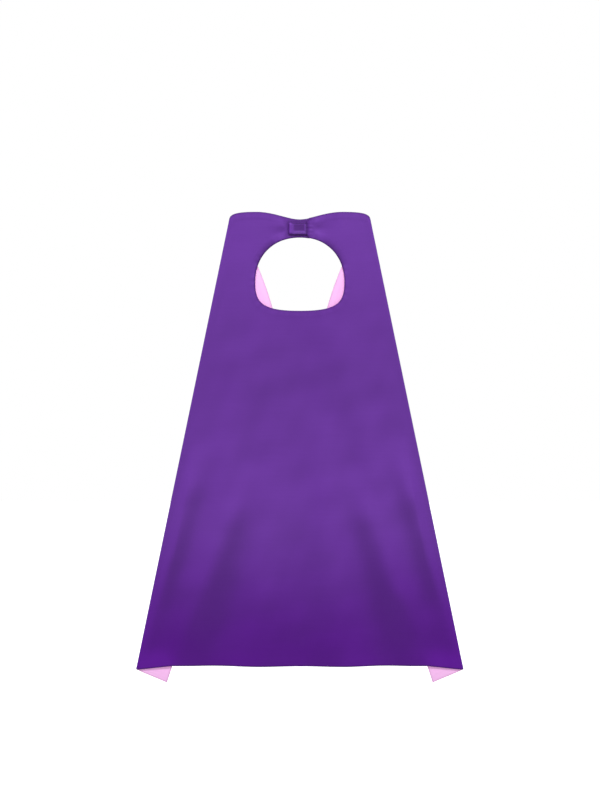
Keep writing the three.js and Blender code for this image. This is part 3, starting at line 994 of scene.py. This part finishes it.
# On the upper tab the stitched square gets painted shade, and the three ridges across the tab get painted
# highlights.
# Past the tab the strap gets the same painted shade as round it, with a painted dark crease where it narrows.
def tabShade(x, z):
    box = boxDistance(x, z)
    dark, width = paintedShading["stitches"]
    inner = paintedShading["square"] * smooth((-box - 0.9 * mm) / (1.3 * mm)) + dark * bell(box, width)
    light, width = paintedShading["ridge"]
    ridges = sum(bell(x - at, width) for at in paintedShading["ridges"])
    onTab = smooth((paintedShading["tabEnd"] + 0.5 * mm - x) / paintedShading["tabOver"])
    dark, width = paintedShading["crease"]
    reach, fade = paintedShading["creaseHalf"]
    within = smooth((reach - np.abs(z - closure["centre"])) / fade)
    crease = dark * bell(x - paintedShading["creaseAt"], width) * within
    beside = (1 - onTab) * closureShade(x, z) * paintedShading["strap"]
    return onTab * (inner - light * ridges) + beside + crease


# One layer of satin over a grid of the cut, put in its place by the given function. Only the outer face
# carries the painted shade and light round the closure.
def clothPiece(name, grid, layer, distance, arc, placing, shade=closureShade):
    near, far = faceDepth(distance, layer)
    pucker = puckerAt(distance, arc)
    # painted shade and light round the closure, on the outer face only
    pressed = shade(grid[..., 0], grid[..., 1]) if layer == "outer" else 0.0
    faces = (placing(grid, depth, pucker) for depth in (near, far))
    piece = shellObject(name, *faces, grid, distance, pressed)
    piece.data.materials.append(materialOf[layer])
    return piece


# Ribbon of turned-in edges along a line of the flat cut, between two distances to its inner side.
def ribbonGrid(line, low, high, rows=5):
    run = np.gradient(line, axis=0)
    run /= np.hypot(*run.T)[:, None]
    inward = np.stack([-run[:, 1], run[:, 0]], axis=-1)
    steps = np.linspace(low, high, rows)
    return line[:, None, :] + inward[:, None, :] * steps[None, :, None]


turned = {  # the turned-in edges: distances from the seam, and depths behind the outer face
    "low": 1.6 * mm,
    "high": 9.4 * mm,
    "tabHigh": 4 * mm,
    "front": 0.70 * mm,
    "back": 1.20 * mm,
    "unmarked": 10 * mm,  # they carry this distance from the seam throughout
}


def ribbonPiece(name, line, placing, high=turned["high"], rows=5):
    grid = ribbonGrid(line, turned["low"], high, rows)
    front, back = (placing(grid, turned[face], 0) for face in ("front", "back"))
    piece = shellObject(name, front, back, grid, turned["unmarked"])
    piece.data.materials.append(turnedEdge)
    return piece


thread = {"inset": 0.8 * mm, "pitch": 1.3 * mm, "bob": 0.12 * mm, "radius": 0.16 * mm}


# The seam's thread: a thin tube along the seam that bobs up at one point and down at the next.
def threadPiece(name, line, placing):
    seam = evened(ribbonGrid(line, thread["inset"], thread["inset"], 1)[:, 0], thread["pitch"])
    bob = thread["bob"] * np.sin(2 * np.pi * np.arange(len(seam)) / 2.0 + 0.4)
    path = placing(seam, cloth["stack"] / 2 + bob, 0)
    piece = meshObject(name, *tubeMesh(path, thread["radius"], 5))
    piece.data.materials.append(sewingThread)
    return piece


# The panel's sewn edges as lines of the flat cut, each with the cloth on the same side of it.
def edgeLines():
    neckStart, outStart = strapStarts()
    leftTop = evened(stretch(outlineHalf, outStart, collarArc), 3 * mm)
    hemHalf = evened(stretch(outlineHalf, hemArc, outlineLength), 5 * mm)
    neckPart = evened(stretch(neckHalf, neckStart, arcOf(neckHalf)[-1]), 3 * mm)
    return {"top_left": leftTop, "top_right": mirrorLine(leftTop), "hem": closeLine(hemHalf),
            "neck": closeLine(neckPart)[::-1]}


def buildPanel():
    grid = panelGrid()
    distance, arc = seamField(grid)
    for run, line in edgeLines().items():
        for piece, node in ((ribbonPiece(f"{run}TurnedEdge", line, foldPanelInlay), f"{run}_seam_allowance"),
                            (threadPiece(f"{run}SeamThread", line, foldPanelInlay), f"{run}_seam_thread")):
            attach(piece, "centre_panel")
            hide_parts(node)
    for layer in ("outer", "lining"):
        piece = clothPiece(f"{layer}PanelCloth", grid, layer, distance, arc, foldCloth)
        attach(piece, "centre_panel")
        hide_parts(f"{layer}_centre_panel")


flapRows = {
    "down": 118,
    "across": 31,
    "outerStart": 5 * mm,  # the free edge's first row starts this far past the fold's top
    "shortest": 36 * mm,  # shorter rows take this one's distances, scaled down
}
# distances from the start of the turn: even round it, then wider
turnSteps = np.concatenate([[0, 0.3], 0.3 + np.linspace(0, 6, 17)[1:], [7.3, 9, 11.5]]) * mm


# Grid of the flat cut past the turn: each row runs from the line where the cloth turns to the cape's free
# edge.
def flapGrid(side):
    tipArc = arcOf(outlineHalf)[np.argmin(np.hypot(*(outlineHalf - hemTip).T))]
    start, low = along(outlineHalf, [collarArc, hemArc])
    innerLength = np.hypot(*(low - start))
    outerStart = collarArc + flapRows["outerStart"]
    innerRows = rowSteps(np.array([innerLength]), flapRows["down"])[0]
    outerRows = rowSteps(np.array([tipArc - outerStart]), flapRows["down"])[0]
    inner = start + (low - start) * (innerRows / innerLength)[:, None]
    outer = along(outlineHalf, outerStart + outerRows)
    length = np.hypot(*(outer - inner).T)
    full = np.maximum(length, flapRows["shortest"])[:, None]
    share = np.linspace(0, 1, flapRows["across"])[1:-1]
    reach = edgeSteps[-1]
    between = turnSteps[-1] + (full - reach - turnSteps[-1]) * share
    wide = np.broadcast_to(turnSteps, (len(length), len(turnSteps)))
    steps = np.concatenate([wide, between, full - edgeSteps[::-1]], axis=1) / full
    grid = inner[:, None, :] + (outer - inner)[:, None, :] * steps[..., None]
    return grid if side < 0 else grid * [-1, 1]


# Bakes a flap piece's placing into its mesh.
def bendFlap(piece):
    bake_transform(piece)


def buildFlap(label, side):
    grid = flapGrid(side)
    distance, arc = seamField(grid, useNeck=False)
    line = evened(stretch(outlineHalf, collarArc + fold["inlayStart"], hemArc - fold["inlayStart"]), 4 * mm)
    line = line if side < 0 else mirrorLine(line)
    inlays = [ribbonPiece(f"{label}FlapTurnedEdge", line, foldFlapInlay),
              threadPiece(f"{label}FlapSeamThread", line, foldFlapInlay)]
    for piece, node in zip(inlays, ("allowance", "thread")):
        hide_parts(f"{label}_flap_seam_{node}")
        bendFlap(piece)
    for layer in ("outer", "lining"):
        piece = clothPiece(f"{label}Flap{layer.title()}Cloth", grid, layer, distance, arc, foldCloth)
        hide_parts(f"{layer}_{label}_flap")
        bendFlap(piece)


tab = {
    "halfHeight": 9.4 * mm,
    "reach": -17.7 * mm,  # free end of the upper tab
    "lowerReach": 16.6 * mm,  # free end of the lower tab
    "corner": 2.5 * mm,
    "neckEnd": 8.8 * mm,  # the strap narrows to the tab between these two
    "neckStart": 14.5 * mm,
    "patchLow": -12.4 * mm,
    "patchHigh": 10.1 * mm,
    "patchHalf": 8.25 * mm,
    "stitchInset": 1.4 * mm,
    "lengthRows": 44,  # rows along the strap before the close ones at the free end, and rows across it
    "widthRows": 10,
}
patchFront = {"hook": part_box("hook_patch")[0].y, "loop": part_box("loop_patch")[0].y}
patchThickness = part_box("hook_patch")[1].y - patchFront["hook"]

# The box stitching's middle, half length and half height.
boxMiddle = (tab["patchLow"] + tab["patchHigh"]) / 2
boxHalfX = (tab["patchHigh"] - tab["patchLow"]) / 2 - tab["stitchInset"]
boxHalfZ = tab["patchHalf"] - tab["stitchInset"]


# Height of a half outline at x, on the neck opening's top or on the top edge.
def edgeHeight(line, x):
    part = line[: len(line) // 3]
    return np.interp(np.abs(x), -part[:, 0], part[:, 1])


# How far a square corner is cut back at a place near the tab's end: the gap under a quarter circle.
def cornerCut(x, end, direction):
    into = np.clip(tab["corner"] - np.abs(x - end), 0, tab["corner"])
    return np.where((x - end) * direction >= 0, tab["corner"] - np.sqrt(tab["corner"] ** 2 - into**2), 0)


# Lower and upper edge of the upper tab at x: the strap's edges, eased to the narrow tab.
def upperEdges(x):
    wide = 1 - smooth((tab["neckStart"] - x) / (tab["neckStart"] - tab["neckEnd"]))
    half = tab["halfHeight"] - cornerCut(x, tab["reach"], 1)
    low = closure["centre"] - half
    high = closure["centre"] + half
    return low + wide * (edgeHeight(neckHalf, x) - low), high + wide * (edgeHeight(outlineHalf, x) - high)


# The lower tab keeps the strap's own edges, with its corners cut back.
def lowerEdges(x):
    trim = cornerCut(x, tab["lowerReach"], -1)
    return edgeHeight(neckHalf, x) + trim, edgeHeight(outlineHalf, x) - trim


# Grid of a tab: columns go from the strap to the free end, and rows from its lower edge to its upper edge.
def tabGrid(start, end, edges):
    direction = np.sign(end - start)
    run = abs(end - start)
    steps = np.concatenate([np.linspace(0, run - edgeSteps[-1], tab["lengthRows"]), run - edgeSteps[-2::-1]])
    x = start + direction * steps
    low, high = edges(x)
    rows = rowSteps(high - low, tab["widthRows"])
    z = low[:, None] + rows
    return np.stack([np.broadcast_to(x[:, None], z.shape), z], axis=-1)


# Sewn edge of a tab, from the strap round its end and back.
def tabLine(start, end, edges):
    direction = np.sign(end - start)
    x = np.concatenate([np.linspace(start, end - direction * tab["corner"], 40),
                        end - direction * tab["corner"] * (1 - np.sin(np.linspace(0, np.pi / 2, 8)[1:]))])
    low, high = edges(x)
    line = joinLines(np.stack([x, low], -1), np.stack([x, high], -1)[::-1])
    return line if direction > 0 else line[::-1]


# How far a point lies outside the rectangle of the box stitching, below 0 inside it.
def boxDistance(x, z):
    return np.maximum(np.abs(x - boxMiddle) - boxHalfX, np.abs(z - closure["centre"]) - boxHalfZ)


relief = {  # depth of each, and the width of its bell curve
    "groove": (0.25 * mm, 0.9 * mm),
    "pressed": 0.85 * mm,
    "pressedAbove": 0.35,  # share of it that is left at the square's top
    "swollen": (0.30 * mm, 0.9 * mm),
    "swollenAt": 1.7 * mm,  # this far outside the stitches
    "ridge": 0.45 * mm,
    "ridges": ((-14.5 * mm, 1.3 * mm, 1.0), (-9.2 * mm, 0.9 * mm, 0.7)),  # place, width, share of the height
    "crease": (1.6 * mm, 1.7 * mm),
    "creaseAt": 12.4 * mm,
    "ripple": 0.08 * mm,
    "ripplePitch": 6.2 * mm,
    "rippleAt": (16 * mm, 6 * mm),
}


# The box stitching draws the upper tab in along a rectangle: the cloth inside it is pressed in, and the rim
# between the stitches and the edge swells, with two ridges across the free end.
def stitchRelief(x, z):
    box = boxDistance(x, z)
    dz = np.abs(z - closure["centre"]) - boxHalfZ
    groove = relief["groove"][0] * bell(box, relief["groove"][1])
    lower = np.clip((closure["centre"] + boxHalfZ - z) / (2 * boxHalfZ), 0, 1)
    above = relief["pressedAbove"]
    pressed = relief["pressed"] * (above + (1 - above) * lower) * smooth((-box - 0.6 * mm) / (1.8 * mm))
    swollen = -relief["swollen"][0] * bell(box - relief["swollenAt"], relief["swollen"][1])
    ridges = sum(share * bell(x - at, width) for at, width, share in relief["ridges"])
    return groove + pressed + swollen - relief["ridge"] * ridges * smooth((1.5 * mm - dz) / (2 * mm))


# The strap creases where it narrows, as a bell curve, and beside the crease it gathers in ripples that run
# along it, as a cosine of the height.
def gather(x, z):
    crease = relief["crease"][0] * bell(x - relief["creaseAt"], relief["crease"][1])
    place, width = relief["rippleAt"]
    wave = np.cos((z - closure["centre"]) * 2 * np.pi / relief["ripplePitch"] + 0.6)
    return crease + relief["ripple"] * bell(x - place, width) * wave


# The upper tab lies flat in front of the patches. The relief of its stitches fades out towards its lining,
# and past the hinge it takes over the strap's drape.
def placeUpper(grid, depth, pucker):
    x, z = grid[..., 0], grid[..., 1]
    outside = np.clip(1 - depth / (0.6 * cloth["stack"]), 0, 1)
    join = smooth((closure["upperHinge"] + closure["bend"] - x) / closure["join"])
    y = depth - closure["lift"] + lay(x, z) * (1 - join) + pucker
    return np.stack([x, y + (stitchRelief(x, z) * outside + gather(x, z)) * join, z], axis=-1)


# The lower tab lies flat too, with weaker puckers than its strap.
def placeLower(grid, depth, pucker):
    x, z = grid[..., 0], grid[..., 1]
    join = smooth((x - closure["lowerHinge"] + closure["bend"]) / closure["join"])
    y = depth + lay(x, z) * (1 - join) + pucker * (1 - 0.6 * join)
    return np.stack([x, y, z], axis=-1)


# stem and curl are shares of a hook's height
hook = {"pitchX": 1.15 * mm, "pitchZ": 1.35 * mm, "stem": 0.65, "curl": 0.30}


# Rows of small hooks: each leans out of the tape and curls over, a little more than half a circle on a short
# stem. The rows lean to one side and the other by turns.
def hookParts(front, back):
    parts = []
    tall = abs(front - back)
    turn = np.linspace(0, 1.15 * np.pi, 6)
    curl = hook["curl"] * tall
    stem = np.array([[0, 0], [0, 0.35], [0, hook["stem"]]]) * tall
    bowed = np.stack([curl - curl * np.cos(turn), hook["stem"] * tall + curl * np.sin(turn)], -1)
    run = np.concatenate([stem, bowed[1:]])
    for i, x in enumerate(np.arange(tab["patchLow"] + 1.3 * mm, tab["patchHigh"] - 1 * mm, hook["pitchX"])):
        lean = 1 if i % 2 else -1
        for z in np.arange(-tab["patchHalf"] + 1.2 * mm, tab["patchHalf"] - 0.9 * mm, hook["pitchZ"]):
            path = np.stack([x + 0 * run[:, 0], back + np.sign(front - back) * run[:, 1],
                             closure["centre"] + z + lean * run[:, 0]], -1)
            parts.append(tubeMesh(path, np.linspace(0.11, 0.07, len(run)) * mm, 4))
    return parts


# width and shift in mm, height as a share of the pile's
loop = {"pitch": 0.95 * mm, "thread": 0.05 * mm, "wide": (0.3, 0.6), "high": (0.6, 0.95), "shift": 0.3}


# Loop pile: short arches of thread, half ellipses that stand at random angles and heights all over the tape.
def loopParts(front, back):
    draw = np.random.default_rng(21)
    parts = []
    tall = abs(front - back)
    turn = np.linspace(0, np.pi, 6)
    for x in np.arange(tab["patchLow"] + 0.9 * mm, tab["patchHigh"] - 0.7 * mm, loop["pitch"]):
        for z in np.arange(-tab["patchHalf"] + 0.8 * mm, tab["patchHalf"] - 0.7 * mm, loop["pitch"]):
            angle = draw.uniform(0, np.pi)
            wide = draw.uniform(*loop["wide"]) * mm
            high = draw.uniform(*loop["high"]) * tall
            shiftX, shiftZ = draw.uniform(-loop["shift"], loop["shift"], 2) * mm
            flat = -wide * np.cos(turn)
            path = np.stack([x + shiftX + flat * math.cos(angle),
                             back + np.sign(front - back) * high * np.sin(turn),
                             closure["centre"] + z + shiftZ + flat * math.sin(angle)], -1)
            parts.append(tubeMesh(path, loop["thread"], 4))
    return parts


# Woven tape: a plate whose face carries fine ribs along X, as a cosine of the height.
def tapePart(front, back):
    x = np.linspace(tab["patchLow"], tab["patchHigh"], 60)
    z = closure["centre"] + np.linspace(-tab["patchHalf"], tab["patchHalf"], 84)
    gx, gz = np.meshgrid(x, z, indexing="ij")
    rib = 0.04 * mm * np.cos(2 * np.pi * gz / (0.8 * mm))
    near = np.stack([gx, front + rib, gz], -1)
    far = np.stack([gx, np.full_like(gx, back), gz], -1)
    vertices, faces, _ = closedShell(near, far)
    return vertices, faces.tolist()


stitch = {"pitch": 2.7 * mm, "radii": np.array([0.10, 0.21, 0.25, 0.25, 0.21, 0.10]) * mm}


# Box stitching: short plump stitches end to end round the rectangle, each an arched tube that tapers to the
# cloth.
def stitchParts(y, rise):
    corners = np.array([(-1, -1), (1, -1), (1, 1), (-1, 1), (-1, -1)]) * [boxHalfX, boxHalfZ]
    parts = []
    for a, b in zip(corners[:-1], corners[1:]):
        count = int(round(np.hypot(*(b - a)) / stitch["pitch"]))
        for k in range(count):
            share = (k + np.linspace(0.06, 0.94, 6)) / count
            line = a + (b - a) * share[:, None]
            arch = rise * np.sin(np.linspace(0, np.pi, 6))
            path = np.stack([boxMiddle + line[:, 0], y + arch, closure["centre"] + line[:, 1]], -1)
            parts.append(tubeMesh(path, stitch["radii"], 6))
    return parts


def finishSmall(name, parts, material, body, node):
    piece = meshObject(name, *joinMeshes(parts), body=body)
    piece.data.materials.append(material)
    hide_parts(node)
    return piece


# A tab from the strap's cut to its free end, which bends over a short way on each side of the hinge.
def buildTab(label, start, end, edges, placing):
    grid = tabGrid(start, end, edges)
    line = tabLine(start, end, edges)
    distance, arc = nearestOn(line, grid)
    inlays = [ribbonPiece(f"{label}TabTurnedEdge", evened(line, 0.6 * mm), placing, turned["tabHigh"], 8),
              threadPiece(f"{label}TabSeamThread", line, placing)]
    for piece, node in zip(inlays, ("allowance", "thread")):
        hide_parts(f"{label}_tab_seam_{node}")
        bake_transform(piece)
    for layer in ("outer", "lining"):
        shade = tabShade if label == "upper" else closureShade
        piece = clothPiece(f"{label}Tab{layer.title()}Cloth", grid, layer, distance, arc, placing, shade)
        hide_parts(f"{layer}_{label}_tab")
        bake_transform(piece)


# The hook tape is sewn to the lining of the upper tab and faces back; the loop tape faces forward to it.
def buildPatches():
    base = 0.35 * mm  # thickness of the tapes' ground
    hookFront = patchFront["hook"]
    hookBack = hookFront + patchThickness
    hooks = [tapePart(hookFront + base, hookFront)] + hookParts(hookBack - 0.1 * mm, hookFront + base)
    finishSmall("hookPatchTape", hooks, hookTape, "upper_tab", "hook_patch")
    loopFront = patchFront["loop"]
    loopBack = loopFront + patchThickness
    loops = [tapePart(loopBack - base, loopBack)] + loopParts(loopFront + 0.05 * mm, loopBack - base)
    finishSmall("loopPatchTape", loops, loopTape, "lower_tab", "loop_patch")
    grooved = -closure["lift"] + 0.16 * mm
    finishSmall("hookPatchStitches", stitchParts(grooved, -0.22 * mm), sewingThread,
                "upper_tab", "hook_patch_stitching")
    finishSmall("loopPatchStitches", stitchParts(cloth["stack"] + 0.02 * mm, 0.22 * mm), sewingThread,
                "lower_tab", "loop_patch_stitching")


studio = {
    "floor": -1.0,
    "floorHalf": 12.0,
    "floorColour": (0.88, 0.88, 0.88, 1),
    "background": (0.45, 0.55),  # strength of the light all round, and what is added where the camera sees it
    "lens": 85,
    "distance": 2.905,
    "aim": (0.0003, -0.1935),  # x and z that the camera looks at
    "lights": {  # place, the point it aims at, size and power
        "keyLight": ((-0.05, -2.2, 1.35), (0, 0, -0.2), (1.5, 0.6), 40),
        "fillLight": ((0.9, -2.7, 0.1), (0, 0, -0.2), (1.2, 1.2), 4),
        "backLight": ((0.5, 2.0, 1.5), (0, 0, -0.1), (1.5, 0.8), 30),
        "backFill": ((-1.6, 2.0, 0.1), (0, 0, -0.2), (1.2, 1.4), 5),
    },
}


def buildCamera():
    data = bpy.data.cameras.new("camera")
    data.lens = studio["lens"]
    data.sensor_width = 36
    camera = bpy.data.objects.new("camera", data)
    camera.location = (studio["aim"][0], -studio["distance"], studio["aim"][1])
    camera.rotation_euler = (math.pi / 2, 0, 0)
    bpy.context.scene.collection.objects.link(camera)
    bpy.context.scene.camera = camera


def areaLight(name, place, target, size, power):
    data = bpy.data.lights.new(name, "AREA")
    data.shape = "RECTANGLE"
    data.size, data.size_y = size
    data.energy = power
    light = bpy.data.objects.new(name, data)
    light.location = place
    aim = np.array(target) - np.array(place)
    light.rotation_euler = Vector(aim).to_track_quat("-Z", "Y").to_euler()
    bpy.context.scene.collection.objects.link(light)


# A pale floor that glows white further out, where the camera sees it, under a white background.
def buildFloor():
    half = studio["floorHalf"]
    corners = [(x * half, y * half, studio["floor"]) for x, y in ((-1, -1), (1, -1), (1, 1), (-1, 1))]
    floor = meshObject("floor", corners, [(0, 1, 2, 3)])
    material, tree, shader = newMaterial("paleFloor")
    shader.inputs["Base Color"].default_value = studio["floorColour"]
    shader.inputs["Roughness"].default_value = 0.9
    shader.inputs["Emission Color"].default_value = (1, 1, 1, 1)
    place = tree.nodes.new("ShaderNodeTexCoord")
    far = tree.nodes.new("ShaderNodeVectorMath")
    far.operation = "LENGTH"
    tree.links.new(place.outputs["Object"], far.inputs[0])
    glow = rangeNode(tree, far.outputs["Value"], 0.5, 1.6, 0.15, 1.0)
    looked = tree.nodes.new("ShaderNodeLightPath").outputs["Is Camera Ray"]
    tree.links.new(mathNode(tree, "MULTIPLY", glow, looked), shader.inputs["Emission Strength"])
    floor.data.materials.append(material)


def buildStudio():
    scene = bpy.context.scene
    scene.view_settings.view_transform = "Standard"
    scene.view_settings.look = "None"
    world = bpy.data.worlds.new("studioWorld")
    scene.world = world
    world.use_nodes = True
    tree = world.node_tree
    background = tree.nodes["Background"]
    background.inputs["Color"].default_value = (1, 1, 1, 1)
    seen = tree.nodes.new("ShaderNodeLightPath")
    allRound, added = studio["background"]
    strength = mathNode(tree, "MULTIPLY_ADD", seen.outputs["Is Camera Ray"], added, allRound)
    tree.links.new(strength, background.inputs["Strength"])
    buildFloor()
    for name, light in studio["lights"].items():
        areaLight(name, *light)


buildCamera()
buildPanel()
print("cape: centre panel made")
buildFlap("left", -1)
buildFlap("right", 1)
print("cape: flaps made")
buildTab("upper", strapCut, tab["reach"], upperEdges, placeUpper)
buildTab("lower", -strapCut, tab["lowerReach"], lowerEdges, placeLower)
buildPatches()
print("cape: closure made")
buildStudio()
